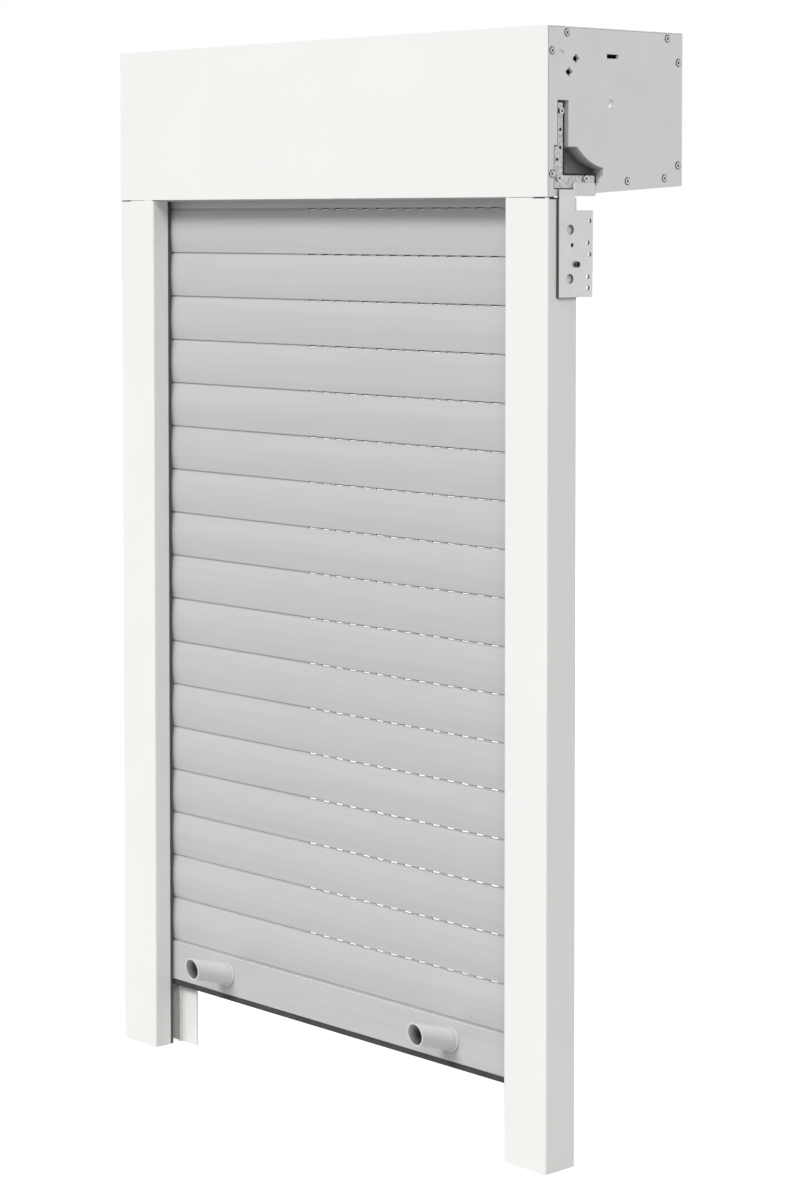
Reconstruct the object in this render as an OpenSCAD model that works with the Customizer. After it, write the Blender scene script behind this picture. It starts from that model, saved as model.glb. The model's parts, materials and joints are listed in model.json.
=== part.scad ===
// Exterior roller shutter: a box over the window frame, two guide rails, a slatted
// curtain and the roller that lifts it.
// X runs across the window, -Y faces outdoors and Z is up. The origin is the centre of
// the four rail fixing holes, on the back plane of the rails, which is Y = 0.

/* [Overall] */
// Width over the end plates and the rails
shutter_w = 555; // [480:5:700]
// Height of the guide rails
rail_h = 790; // [720:10:860]

/* [Box] */
// Height of the box at its front
box_h = 137; // [130:1:165]
// Depth of the box
box_d = 161; // [150:1:190]
// Wall of the extruded box panels
sheet_t = 1.5; // [1.2:0.1:2.5]
// Rise of the box floor from front to back
floor_rise = 10; // [4:1:14]
// Depth of the front panel's returned edges
return_d = 20; // [16:1:26]
// Depth of the front panel's bottom lip
lip_d = 10; // [8:1:12]
// Outer radius of a screw channel on a panel
channel_r = 4; // [3.8:0.1:5]
// Distance of the floor panel's front edge behind the rails' back plane
floor_front = 6; // [5:1:10]
// Height of the floor panel's upturned front edge
floor_lip_h = 22; // [15:1:30]

/* [End plates] */
// Thickness of the end plate
end_plate_t = 3; // [2.5:0.1:4]
// Thickness of the rim that carries the panels
rim_t = 2; // [1.6:0.1:3]
// Depth of that rim, inwards
rim_depth = 20; // [16:1:20]
// Depth of the pocket behind the corner bracket
pocket_depth = 16; // [12:1:17]
// Wall of the pockets
pocket_wall = 2; // [1.5:0.1:2.5]
// Depth of the upright groove above the pocket
groove_depth = 8; // [6:0.5:12]
// Radius of the round cheek about the roller
cheek_r = 53; // [50:0.5:56]
// Thickness of the moulded tab over the bracket
tab_t = 1.8; // [1.2:0.1:2.4]

/* [Rails] */
// Width of a rail seen from the front
rail_w = 48; // [44:1:56]
// Depth of a rail
rail_d = 34; // [33:0.5:40]
// Wall of the rail
rail_wall = 1.6; // [1.2:0.1:2.2]
// Radius of the rail's front edges
rail_edge_r = 2.2; // [0.8:0.1:2.5]
// Width of the outer chamber, up to the bottom of the slot
chamber_w = 20; // [18:1:23]
// Width of the slot that guides the curtain
slot_w = 14; // [13.4:0.1:15]
// Thickness of the flange behind the slot
flange_t = 2; // [1.8:0.1:3]
// Reach of that flange past the front leg
flange_reach = 21; // [14:1:28]
// Width of a sealing strip
strip_w = 2.5; // [2:0.1:4]
// Depth of the groove that holds a sealing strip
strip_seat = 0.8; // [0.4:0.1:1]
// Diameter of the rail fixing holes
fix_hole_d = 5.5; // [4.5:0.1:6.5]
// Height between the upper and the lower fixing holes
fix_span = 600; // [400:10:640]

/* [Curtain] */
// Height from one slat to the next while the curtain hangs
slat_pitch = 40.2; // [37:0.1:45]
// Thickness of the curtain
curtain_t = 8; // [7.6:0.1:8.6]
// Wall of a slat
slat_wall = 1; // [0.8:0.1:1.2]
// Gap between hanging slats, which closes when they stack
slat_gap = 1.8; // [1.5:0.1:2.4]
// Bulge of the slat's front
front_bulge = 1.8; // [1.2:0.1:2.2]
// Hollow of the slat's back
back_hollow = 0.6; // [0.3:0.1:0.8]
// Clearance of the slat's end to the bottom of the slot
slat_end_clear = 4; // [3.5:0.1:5]
// Length of a light slot
light_slot_w = 9; // [6:0.5:11]
// Distance from one light slot to the next
light_slot_pitch = 17.6; // [14:0.2:24]
// Left end of the row of light slots, from the middle of the curtain
light_slot_left = -40; // [-220:5:0]
// Height of the bottom bar
bar_h = 38; // [34:1:46]
// Wall of the bottom bar
bar_wall = 1.2; // [1:0.1:1.4]
// Height of the rubber seal below the bar
seal_h = 6; // [4:0.5:8]
// Height of the seal above the sill, as the curtain hangs
sill_gap = 55; // [20:1:70]

/* [Stops] */
// Outer diameter of a stop
stop_d = 19; // [18:0.5:24]
// Bore of a stop
stop_bore = 16.4; // [13:0.1:16.4]
// Length of a stop
stop_len = 42.5; // [35:0.5:55]
// Upward slant of a stop
stop_tilt = 16; // [0:1:25]
// Forward lean of a stop's mouth
stop_mouth = 9; // [0:1:15]
// Distance of a stop from the middle of the bar
stop_x = 148; // [100:1:160]
// Shift of both stops to the right
stop_shift = -4; // [-10:1:10]

/* [Roller] */
// Distance of the roller's axis behind the box front
axis_back = 74; // [70:0.5:80]
// Height of the roller's axis above the box underside
axis_up = 76; // [72:0.5:80]
// Width across the flats of the octagonal tube
tube_af = 40; // [38:0.5:44]
// Wall of the tube
tube_wall = 1; // [0.8:0.1:1.4]
// Diameter of the tubular motor
motor_d = 35; // [32:0.5:35.5]
// Length of the tubular motor
motor_l = 300; // [220:5:340]
// Diameter of the idler pin
pin_d = 12; // [10:0.5:14]
// Outer diameter of the idler bearing
bearing_d = 28; // [24:0.5:32]
// Width of the idler bearing
bearing_w = 8; // [6:0.5:9]
// Width of a hanger strap
strap_w = 20; // [14:1:30]
// Thickness of a hanger strap
strap_t = 0.8; // [0.6:0.1:1]
// Distance between hanger straps
strap_pitch = 170; // [120:5:190]

/* [Brackets] */
// Thickness of the corner bracket
bracket_t = 2.5; // [2:0.1:2.8]
// Thickness of the rail hanger plate
hanger_t = 2; // [1.5:0.1:3]
// Diameter of the holes along the hanger plate's back edge
edge_hole_d = 3.6; // [3:0.1:4.2]

/* [Hidden] */
$fn = 48;
// Clearances: between fixed pieces, in running fits, of plugs and screws, to the sealing strips,
// between pieces that rest on one another, and past a cut face
fit_clear = 0.3;
run_clear = 0.05;
plug_clear = 0.2;
strip_clear = 0.3;
rest_clear = 0.1;
past = 1;

// Main planes
half_w = shutter_w / 2;
front_y = -rail_d;
back_y = front_y + box_d;
sill_z = -rail_h / 2;
box_z = rail_h / 2;
box_top = box_z + box_h;
inner_x = half_w - end_plate_t;
panel_end_x = inner_x - rim_depth - fit_clear;
pocket_x = half_w - pocket_depth - pocket_wall;

// Rail slot, seen from above
slot_back = -flange_t;
slot_front = slot_back - slot_w;
leg_d = slot_front - front_y;
back_clear = 2;
front_clear = slot_w - curtain_t - back_clear;
curtain_y = slot_back - back_clear - curtain_t / 2;
strip_edge = 0.8;
rail_gap = 0.35;
rail_top = box_z - rail_gap;
fix_x = half_w - rail_w - flange_reach / 2;

// Slat section
slat_end_x = half_w - chamber_w - slat_end_clear;
slat_body_h = slat_pitch - slat_gap;
slat_mid = slat_body_h / 2;
front_r = (slat_mid * slat_mid + front_bulge * front_bulge) / (2 * front_bulge);
back_r = (slat_mid * slat_mid + back_hollow * back_hollow) / (2 * back_hollow);
lip_t = 1.2;
back_drop = 1.4;
neck_in = 0.1;
neck_t = 1.2;
neck_front = -curtain_t / 2 + front_bulge + slat_wall + neck_in;
neck_back = neck_front + neck_t;
head_w = 2.8;
head_h = 1.2;
hook_clear = 2 * plug_clear;
hook_mid = neck_front + head_w / 2;
close_travel = slat_gap - plug_clear;
pocket_roof = lip_t + rest_clear + head_h + close_travel + plug_clear;
light_slot_edge = 0.2;

// Curtain stack, from the sill upwards
bar_z = sill_z + sill_gap + seal_h;
bar_top = bar_z + bar_h;
above_box = 33;
slat_n = floor((box_z + above_box - bar_top) / slat_pitch);
function slat_z(i) = bar_top + (slat_n - i) * slat_pitch;

// Bottom bar, seal and stops
bar_body_h = bar_h - slat_gap;
bar_edge_r = 1.2;
seal_w = 5;
seal_mouth = 2.4;
seal_root_w = 4.4;
seal_root_h = 2;
bar_web_z = bar_wall + seal_root_h + 2 * plug_clear + bar_wall;
cap_t = 2;
cap_peg = 12;
stop_z = bar_z + bar_h / 2;
stop_foot_t = 3;
stop_rim_w = 1.2;
stop_rim_d = stop_d + 2 * stop_rim_w;
stop_rim_t = 1.5;
stop_bore_z = (stop_foot_t + stop_bore / 2 * sin(stop_tilt)) / cos(stop_tilt);
bar_front_y = curtain_y - curtain_t / 2;

// Screws: shank, pan head, the cross recess in the head, and the recess that sinks a head
screw_d = 3;
head_d = 5;
pan_h = 2;
cross_l = 3.6;
cross_w = 0.9;
cross_deep = 1;
screw_sink = 1.6;
sink_clear = 0.8;
screw_grip = 8;
screw_l = end_plate_t + rim_depth + screw_grip;
small_screw_l = 6;

// Roller
axis_y = front_y + axis_back;
axis_z = box_z + axis_up;
tube_r = tube_af / 2 / cos(180 / 8);
plug_af = tube_af - 2 * tube_wall - 2 * plug_clear;
plug_r = plug_af / 2 / cos(180 / 8);
bracket_l = 6;
bracket_d = 60;
motor_hole_in = 6;
motor_hole_d = 5;
motor_head_over = 2;
motor_head_d = tube_af + 2 * motor_head_over;
motor_head_l = 18;
flange_l = 2;
crown_l = 22;
plug_l = 40;
wheel_l = 26;
shaft_w = 10;
shaft_over = 6;
shaft_l = wheel_l + shaft_over;
wheel_gap = 3;
motor_x = inner_x - bracket_l - motor_head_l;
tube_x1 = motor_x - flange_l - fit_clear;
holder_back = 8;
holder_wall = 4;
pin_clear = 2;
holder_l = bearing_w + holder_back;
holder_d = bearing_d + 2 * holder_wall;
holder_flange_w = 10;
holder_flange_d = holder_d + 2 * holder_flange_w;
holder_flange_l = 4;
bearing_lip = 2;
tube_x0 = -inner_x + holder_l + flange_l + fit_clear;
ring_t = 2.4;

// Hanger straps run from the top slat's clip to the tube and over it
clip_h = 11;
clip_over = 3;
clip_w = strap_w + 2 * clip_over;
clip_t = 6;
strap_lift = 0.5;
strap_r = tube_r + strap_lift;
strap_in = 0.7;
strap_foot = [curtain_y + strap_in, slat_z(1) + slat_pitch + clip_h];
strap_dy = axis_y - strap_foot[0];
strap_dz = axis_z - strap_foot[1];
strap_far = sqrt(strap_dy * strap_dy + strap_dz * strap_dz);
strap_len = sqrt(strap_far * strap_far - strap_r * strap_r);
strap_slope = atan2(strap_dz, strap_dy) + asin(strap_r / strap_far);
strap_wrap = 80;

// Inlet lip: step behind the box front, edge, drop at its back, height of the fin and gap to
// the rail's slot
inlet_front = 7;
inlet_edge = 1;
inlet_drop = 1.2;
inlet_fin_h = 17;
inlet_clear = 0.5;

// Corner bracket and its pockets, measured from the box's lower front corner
bracket_front = 8.4;
bracket_leg_w = 10;
bracket_low = 7;
bracket_foot_h = 10.5;
bracket_foot_l = 47;
bracket_leg_top = 40.5;
bracket_strip_w = 6;
bracket_strip_top = 75.5;
bracket_sink = 0.5;
seat_depth = bracket_t + bracket_sink;
seat_gap = 1.6;
groove_w = 13;
groove_over = 2;
cavity_back = 65;
cavity_bevel = 9;
bracket_back = bracket_front + bracket_leg_w;
bracket_hole_d = 2.6;
boss_d = 8;
strip_mid = bracket_back - bracket_strip_w / 2;
foot_screw_z = bracket_low + bracket_foot_h - head_d / 2;
foot_screw_front = 4.5;
foot_screw_back = 35.5;
strip_screw_down = 6.7;
strip_holes_up = [54, 39.6];
leg_hole_back = 3.5;
leg_hole_up = 30;
bracket_screw_at = [[bracket_front + foot_screw_front, foot_screw_z],
    [bracket_front + foot_screw_back, foot_screw_z], [strip_mid, bracket_strip_top - strip_screw_down]];
bracket_hole_at = concat([for (b = strip_holes_up) [strip_mid, b]],
    [[bracket_front + leg_hole_back, leg_hole_up]]);
tab_at = [30, 1];
tab_size = [24, 10.5];

// Hanger plate on the rail's outer side, measured from the same corner
hanger_gap = 0.8;
hanger_x = half_w + hanger_gap;
hanger_front = 11;
hanger_neck_w = 18;
hanger_w = 39;
hanger_neck_top = 6;
hanger_step = -10.5;
hanger_low = -80.5;
hanger_big_d = 8;
hanger_big_at = [[24, -26], [23.5, -65.5]];
hanger_small_at = [26, -38.5];
hanger_screw_at = [31, -54];
edge_row = [46.5, 44.5];
edge_hole_at = [[edge_row[0], -19], [edge_row[1], -36.5], [edge_row[0], -46],
    [edge_row[1], -64], [edge_row[1], -73]];

// Details of the end plate's outer face, measured from the same corner
square_hole_w = 6;
square_hole_at = [[33, 111], [25, 100]];
dimple_d = 7;
dimple_deep = 1.2;
dimple_at = [[axis_back, axis_up], [16, 114]];
cable_slot_at = [69, 112.5];
cable_slot_size = [14, 3.5];

// Screw channels of the panels, as [back from the box front, up from the box underside]
front_channels = [18.5, 116.5];
top_channels = [22.5, 142];
back_channels = [27, 112];
floor_channels = [94, 139];

function floor_at(a) = floor_rise * a / box_d;
function panel_floor_at(a) = floor_at(a) + rim_t + rest_clear;

channel_at = concat(
    [for (b = front_channels) [sheet_t + channel_r, b]],
    [for (a = top_channels) [a, box_h - sheet_t - channel_r]],
    [for (b = back_channels) [box_d - sheet_t - channel_r, b]],
    [for (a = floor_channels) [a, panel_floor_at(a) + sheet_t + channel_r]]);

// Colours
white = [0.95, 0.95, 0.94];
grey = [0.78, 0.79, 0.79];
slat_grey = [0.76, 0.77, 0.77];
zinc = [0.66, 0.68, 0.70];
black = [0.10, 0.10, 0.11];
steel = [0.60, 0.62, 0.64];

slat_names = [for (i = [1:slat_n]) str("slat_", i < 10 ? "0" : "", i)];

// Extrudes a section drawn in (Y, Z) along X
module along_x(x0, x1) {
    translate([x0, 0, 0]) rotate([90, 0, 90]) linear_extrude(x1 - x0) children();
}

// Moves a section measured from the box's lower front corner to its place
module from_corner() {
    translate([front_y, box_z]) children();
}

// Draws right-hand pieces on the left as well
module on_side(side) {
    mirror([side < 0 ? 1 : 0, 0, 0]) children();
}

// A rectangle given by two corners
module span(a, b) {
    translate(a) square([b[0] - a[0], b[1] - a[1]]);
}

// A pan head screw that points along -X, with its head's seat at x = 0
module pan_screw(l) {
    rotate([0, -90, 0]) cylinder(d = screw_d, h = l);
    difference() {
        rotate([0, 90, 0]) cylinder(d = head_d, h = pan_h);
        for (turn = [45, 135])
            translate([pan_h, 0, 0]) rotate([turn, 0, 0])
                cube([2 * cross_deep, cross_l, cross_w], center = true);
    }
}

// Screw channel of an extruded panel, with its web towards the sheet
module channel(toward) {
    difference() {
        union() {
            circle(r = channel_r);
            rotate(toward) translate([0, -channel_r / 2]) square([channel_r + sheet_t / 2, channel_r]);
        }
        circle(d = screw_d + 2 * plug_clear);
    }
}

module channels(list, toward) {
    along_x(-panel_end_x, panel_end_x) from_corner()
        for (at = list) translate(at) channel(toward);
}

module front_panel() color(white) {
    along_x(-half_w, half_w) from_corner() {
        span([0, 0], [sheet_t, box_h]);
        span([0, box_h - sheet_t], [return_d, box_h]);
    }
    along_x(-panel_end_x, panel_end_x) from_corner() span([0, 0], [lip_d, sheet_t]);
    channels([for (b = front_channels) [sheet_t + channel_r, b]], 180);
}

module top_panel() color(white) {
    along_x(-half_w, half_w) from_corner()
        span([return_d + fit_clear, box_h - sheet_t], [box_d, box_h]);
    channels([for (a = top_channels) [a, box_h - sheet_t - channel_r]], 90);
}

module back_panel() color(white) {
    along_x(-half_w, half_w) from_corner()
        span([box_d - sheet_t, floor_at(box_d)], [box_d, box_h - sheet_t]);
    channels([for (b = back_channels) [box_d - sheet_t - channel_r, b]], 0);
}

module floor_sheet(a0, a1) {
    polygon([[a0, panel_floor_at(a0)], [a1, panel_floor_at(a1)],
        [a1, panel_floor_at(a1) + sheet_t], [a0, panel_floor_at(a0) + sheet_t]]);
}

// Sloped inspection cover that lies on the end plates' rims
module floor_panel() color(white) {
    a0 = rail_d + floor_front;
    end_x = pocket_x - fit_clear;
    along_x(-end_x, end_x) from_corner() {
        floor_sheet(a0, box_d - sheet_t - rim_t - fit_clear);
        span([a0, panel_floor_at(a0)], [a0 + sheet_t, panel_floor_at(a0) + floor_lip_h]);
    }
    along_x(-panel_end_x, panel_end_x) from_corner() floor_sheet(a0, box_d - sheet_t - fit_clear);
    channels([for (a = floor_channels) [a, panel_floor_at(a) + sheet_t + channel_r]], -90);
}

// Lip under the front panel's return, with a fin that leads the curtain into the box
module inlet_lip() color(grey) {
    end_x = half_w - rail_w - fit_clear;
    fin_a = leg_d - sheet_t - inlet_clear;
    along_x(-end_x, end_x) from_corner()
        polygon([[inlet_front, 0], [inlet_front, -inlet_edge], [fin_a + sheet_t, -inlet_drop],
            [fin_a + sheet_t, inlet_fin_h], [fin_a, inlet_fin_h], [fin_a, 0]]);
}

// Outline of the end plate, drawn in by a wall
module plate_outline(wall) {
    a0 = sheet_t + wall;
    a1 = box_d - sheet_t - wall;
    polygon([[a0, floor_at(a0) + wall], [a1, floor_at(a1) + wall],
        [a1, box_h - sheet_t - wall], [a0, box_h - sheet_t - wall]]);
}

// Pocket outside the round cheek, grown by a wall
module cavity_section(wall) {
    low = bracket_low + seat_gap;
    difference() {
        polygon([[bracket_back - wall, low - wall], [cavity_back - cavity_bevel, low - wall],
            [cavity_back + wall, low + cavity_bevel], [cavity_back + wall, bracket_leg_top + wall],
            [bracket_back - wall, bracket_leg_top + wall]]);
        translate([axis_back, axis_up]) circle(r = cheek_r - wall);
    }
}

module groove_section(wall) {
    front = bracket_back - bracket_strip_w - seat_gap / 2;
    span([front - wall, bracket_leg_top - wall],
        [front + groove_w + wall, bracket_strip_top + groove_over + wall]);
}

// Shape of the corner bracket, grown all round
module bracket_section(grow) {
    span([bracket_front - grow, bracket_low - grow], [bracket_back + grow, bracket_leg_top + grow]);
    span([bracket_front - grow, bracket_low - grow],
        [bracket_front + bracket_foot_l + grow, bracket_low + bracket_foot_h + grow]);
    span([bracket_back - bracket_strip_w - grow, bracket_leg_top - past],
        [bracket_back + grow, bracket_strip_top + grow]);
}

module end_plate(side) on_side(side) color(grey) {
    difference() {
        union() {
            along_x(inner_x, half_w) from_corner() plate_outline(0);
            along_x(inner_x - rim_depth, inner_x + past) from_corner() difference() {
                plate_outline(0);
                plate_outline(rim_t);
            }
            along_x(pocket_x, inner_x + past) from_corner() cavity_section(pocket_wall);
            along_x(half_w - groove_depth - pocket_wall, inner_x + past) from_corner()
                groove_section(pocket_wall);
            along_x(half_w - seat_depth - pocket_wall, inner_x + past) from_corner()
                bracket_section(seat_gap / 2 + pocket_wall);
        }
        along_x(half_w - pocket_depth, half_w + past) from_corner() cavity_section(0);
        along_x(half_w - groove_depth, half_w + past) from_corner() groove_section(0);
        along_x(half_w - seat_depth, half_w + past) from_corner() bracket_section(seat_gap / 2);
        along_x(inner_x - past, half_w + past) from_corner() {
            for (at = square_hole_at) translate(at) rotate(45) square(square_hole_w, center = true);
            translate(cable_slot_at) square(cable_slot_size);
        }
        along_x(half_w - dimple_deep, half_w + past) from_corner()
            for (at = dimple_at) translate(at) circle(d = dimple_d);
        along_x(inner_x - rim_depth, half_w + past) from_corner()
            for (at = channel_at) translate(at) circle(d = screw_d + 2 * plug_clear);
        along_x(half_w - screw_sink, half_w + past) from_corner()
            for (at = channel_at) translate(at) circle(d = head_d + 2 * sink_clear);
        along_x(half_w - seat_depth - pocket_wall - past, half_w + past) from_corner()
            translate(bracket_screw_at[0]) circle(d = screw_d + 2 * plug_clear);
    }
    along_x(half_w - pocket_depth - past, half_w - seat_depth) from_corner() translate(bracket_screw_at[1])
        screw_boss();
    along_x(half_w - groove_depth - past, half_w - seat_depth) from_corner() translate(bracket_screw_at[2])
        screw_boss();
    along_x(half_w - bracket_sink + plug_clear, half_w + tab_t) from_corner()
        translate(tab_at) square(tab_size);
}

module screw_boss() {
    difference() {
        circle(d = boss_d);
        circle(d = screw_d + 2 * plug_clear);
    }
}

module end_plate_right() end_plate(1);
module end_plate_left() end_plate(-1);

module end_plate_screws() color(steel) {
    for (side = [1, -1]) on_side(side)
        for (at = channel_at)
            translate([half_w - screw_sink, front_y + at[0], box_z + at[1]]) pan_screw(screw_l);
}

module corner_bracket(side) on_side(side) color(zinc) {
    along_x(half_w - seat_depth, half_w - bracket_sink) from_corner() difference() {
        bracket_section(0);
        for (at = bracket_hole_at) translate(at) circle(d = bracket_hole_d);
        for (at = bracket_screw_at) translate(at) circle(d = screw_d + 2 * plug_clear);
    }
}

module corner_bracket_right() corner_bracket(1);
module corner_bracket_left() corner_bracket(-1);

module bracket_screws() color(steel) {
    for (side = [1, -1]) on_side(side)
        for (at = bracket_screw_at)
            translate([half_w - bracket_sink, front_y + at[0], box_z + at[1]]) pan_screw(small_screw_l);
}

module hanger_plate(side) on_side(side) color(zinc) {
    along_x(hanger_x, hanger_x + hanger_t) from_corner() difference() {
        union() {
            span([hanger_front, hanger_step - past], [hanger_front + hanger_neck_w, hanger_neck_top]);
            span([hanger_front, hanger_low], [hanger_front + hanger_w, hanger_step]);
        }
        for (at = hanger_big_at) translate(at) circle(d = hanger_big_d);
        for (at = edge_hole_at) translate(at) circle(d = edge_hole_d);
        for (at = [hanger_small_at, hanger_screw_at]) translate(at) circle(d = screw_d + 2 * plug_clear);
    }
}

module hanger_plate_right() hanger_plate(1);
module hanger_plate_left() hanger_plate(-1);

module hanger_plate_screws() color(steel) {
    for (side = [1, -1]) on_side(side)
        translate([hanger_x + hanger_t, front_y + hanger_screw_at[0], box_z + hanger_screw_at[1]])
            pan_screw(small_screw_l);
}

// A rectangle of the rail's section: distances from its outer side, then depths in Y
module leg(u0, u1, y0, y1) {
    translate([half_w - u1, y0]) square([u1 - u0, y1 - y0]);
}

module rail_section() {
    difference() {
        union() {
            leg(0, rail_w, front_y + rail_edge_r, slot_front);
            leg(rail_edge_r, rail_w - rail_edge_r, front_y, front_y + leg_d / 2);
            for (u = [rail_edge_r, rail_w - rail_edge_r])
                translate([half_w - u, front_y + rail_edge_r]) circle(r = rail_edge_r);
            leg(0, chamber_w, slot_front - past, 0);
            leg(0, rail_w + flange_reach, -flange_t, 0);
        }
        leg(rail_wall, chamber_w - rail_wall, front_y + rail_wall, -flange_t);
        leg(chamber_w, rail_w - rail_wall, front_y + rail_wall, slot_front - rail_wall);
        leg(rail_w - strip_edge - strip_w, rail_w - strip_edge, slot_front - strip_seat, slot_front + past);
        leg(rail_w - strip_edge - strip_w, rail_w - strip_edge, slot_back - past, slot_back + strip_seat);
    }
}

module guide_rail(side) on_side(side) color(white) {
    difference() {
        translate([0, 0, sill_z]) linear_extrude(rail_top - sill_z) rail_section();
        for (z = [-fix_span / 2, fix_span / 2])
            translate([fix_x, past, z]) rotate([90, 0, 0]) cylinder(d = fix_hole_d, h = flange_t + 2 * past);
        translate([half_w + past, front_y + hanger_screw_at[0], box_z + hanger_screw_at[1]])
            rotate([0, -90, 0])
                cylinder(d = screw_d + 2 * plug_clear, h = rail_wall + 2 * past + small_screw_l);
    }
}

module guide_rail_right() guide_rail(1);
module guide_rail_left() guide_rail(-1);

// Dark strips on both sides of the slot that the slats run against
module sealing_strips(side) on_side(side) color(black) {
    u0 = rail_w - strip_edge - strip_w + plug_clear;
    u1 = rail_w - strip_edge - plug_clear;
    translate([0, 0, sill_z]) linear_extrude(rail_top - sill_z) {
        leg(u0, u1, slot_front - strip_seat, slot_front + front_clear - strip_clear);
        leg(u0, u1, slot_back - back_clear + strip_clear, slot_back + strip_seat);
    }
}

module sealing_strips_right() sealing_strips(1);
module sealing_strips_left() sealing_strips(-1);

// Funnel pushed into the top of the slot
module rail_inlet(side) on_side(side) color(black) {
    wall = 1;
    depth = 20;
    flare = 5;
    flare_h = 18;
    end_u = chamber_w + plug_clear;
    lips_u0 = chamber_w + slat_end_clear - wall;
    lips_u1 = rail_w - strip_edge - strip_w - plug_clear;
    y0 = slot_front + plug_clear;
    y1 = slot_back - plug_clear;
    translate([0, 0, rail_top - depth]) linear_extrude(depth) difference() {
        leg(end_u, lips_u1, y0, y1);
        leg(lips_u0, lips_u1 + past, y0 + wall, y1 - wall);
    }
    along_x(half_w - lips_u1, half_w - lips_u0 - 2 * fit_clear) {
        polygon([[y0, rail_top - depth], [y0 + wall, rail_top - depth], [y0 + wall, rail_top],
            [y0 + wall - flare, rail_top + flare_h], [y0 - flare, rail_top + flare_h], [y0, rail_top]]);
        polygon([[y1 - wall, rail_top - depth], [y1, rail_top - depth], [y1, rail_top],
            [y1 + flare, rail_top + flare_h], [y1 + flare - wall, rail_top + flare_h],
            [y1 - wall, rail_top]]);
    }
}

module rail_inlet_right() rail_inlet(1);
module rail_inlet_left() rail_inlet(-1);

// Moves a section or solid that lies along X at the origin to the roller's axis
module on_axis() {
    translate([0, axis_y, axis_z]) children();
}

// A round disc along X
module disc(x0, x1, d) {
    translate([x0, 0, 0]) rotate([0, 90, 0]) cylinder(d = d, h = x1 - x0);
}

// An octagonal bar along X with its flats level
module octagon(x0, x1, r) {
    translate([x0, 0, 0]) rotate([0, 90, 0]) rotate(180 / 8) cylinder(r = r, h = x1 - x0, $fn = 8);
}

module bearing_holder() color(black) on_axis() {
    x0 = -inner_x;
    difference() {
        union() {
            disc(x0, x0 + holder_flange_l, holder_flange_d);
            disc(x0, x0 + holder_l, holder_d);
        }
        disc(x0 + holder_l - bearing_w - bearing_lip, x0 + holder_l + past, bearing_d);
        disc(x0 - past, x0 + holder_l, pin_d + 2 * pin_clear);
    }
}

// Ball bearing as two rings and a shielded web
module idler_bearing() color(steel) on_axis() {
    x1 = -inner_x + holder_l - bearing_lip;
    shield = 1;
    difference() {
        disc(x1 - bearing_w, x1, bearing_d);
        disc(x1 - bearing_w - past, x1 + past, pin_d);
        for (x = [x1 - bearing_w - past, x1 - shield])
            difference() {
                disc(x, x + shield + past, bearing_d - 2 * ring_t);
                disc(x - past, x + shield + 2 * past, pin_d + 2 * ring_t);
            }
    }
}

module idler_pin() color(steel) on_axis() {
    disc(-inner_x + holder_l - bearing_lip - bearing_w, tube_x0 + plug_l, pin_d - 2 * run_clear);
}

module idler_plug() color(black) on_axis() difference() {
    union() {
        octagon(tube_x0 - flange_l, tube_x0 + plug_l, plug_r);
        disc(tube_x0 - flange_l, tube_x0 - rest_clear, 2 * tube_r);
    }
    disc(tube_x0 - flange_l - past, tube_x0 + plug_l + past, pin_d);
}

module roller_tube() color(zinc) on_axis() difference() {
    octagon(tube_x0, tube_x1, tube_r);
    octagon(tube_x0 - past, tube_x1 + past, tube_r - tube_wall / cos(180 / 8));
}

module motor_bracket() color(zinc) on_axis() difference() {
    disc(inner_x - bracket_l, inner_x, bracket_d);
    for (turn = [0:90:270]) rotate([turn, 0, 0])
        translate([0, bracket_d / 2 - motor_hole_in, 0])
            disc(inner_x - bracket_l - past, inner_x + past, motor_hole_d);
}

module motor_head() color(black) on_axis() {
    disc(motor_x, inner_x - bracket_l, motor_head_d);
}

module motor_body() color(white) on_axis() {
    disc(motor_x - motor_l, motor_x, motor_d);
}

module crown_ring() color(black) on_axis() difference() {
    union() {
        octagon(tube_x1 - crown_l, tube_x1 + flange_l, plug_r);
        disc(tube_x1 + rest_clear, tube_x1 + flange_l, 2 * tube_r);
    }
    disc(tube_x1 - crown_l - past, tube_x1 + flange_l + past, motor_d + 2 * plug_clear);
}

module drive_wheel() color(black) on_axis() {
    x1 = motor_x - motor_l - wheel_gap;
    difference() {
        octagon(x1 - wheel_l, x1, plug_r);
        translate([x1 - wheel_l - past, -shaft_w / 2, -shaft_w / 2])
            cube([wheel_l + 2 * past, shaft_w, shaft_w]);
    }
}

module motor_shaft() color(steel) on_axis() {
    x1 = motor_x - motor_l - plug_clear;
    w = shaft_w - 2 * plug_clear;
    translate([x1 - shaft_l, -w / 2, -w / 2]) cube([shaft_l, w, w]);
}

// One strap: a straight run from the clip, then a wrap over the tube
module strap_section() {
    translate(strap_foot) rotate(strap_slope) square([strap_len, strap_t]);
    translate([axis_y, axis_z]) intersection() {
        difference() {
            circle(r = strap_r + strap_t);
            circle(r = strap_r);
        }
        polygon([[0, 0], for (turn = [0, 0.5, 1]) 2 * strap_r *
            [cos(strap_slope + 90 - turn * strap_wrap), sin(strap_slope + 90 - turn * strap_wrap)]]);
    }
}

module hanger_straps() color(steel) {
    for (x = [-strap_pitch, 0, strap_pitch])
        along_x(x - strap_w / 2, x + strap_w / 2) strap_section();
}

// The pocket that grips the hook of the slat below
module pocket_section() {
    span([neck_front - hook_clear, lip_t], [neck_front + head_w + hook_clear, pocket_roof]);
    span([neck_front - hook_clear, -past], [neck_back + hook_clear, lip_t + past / 2]);
}

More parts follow.
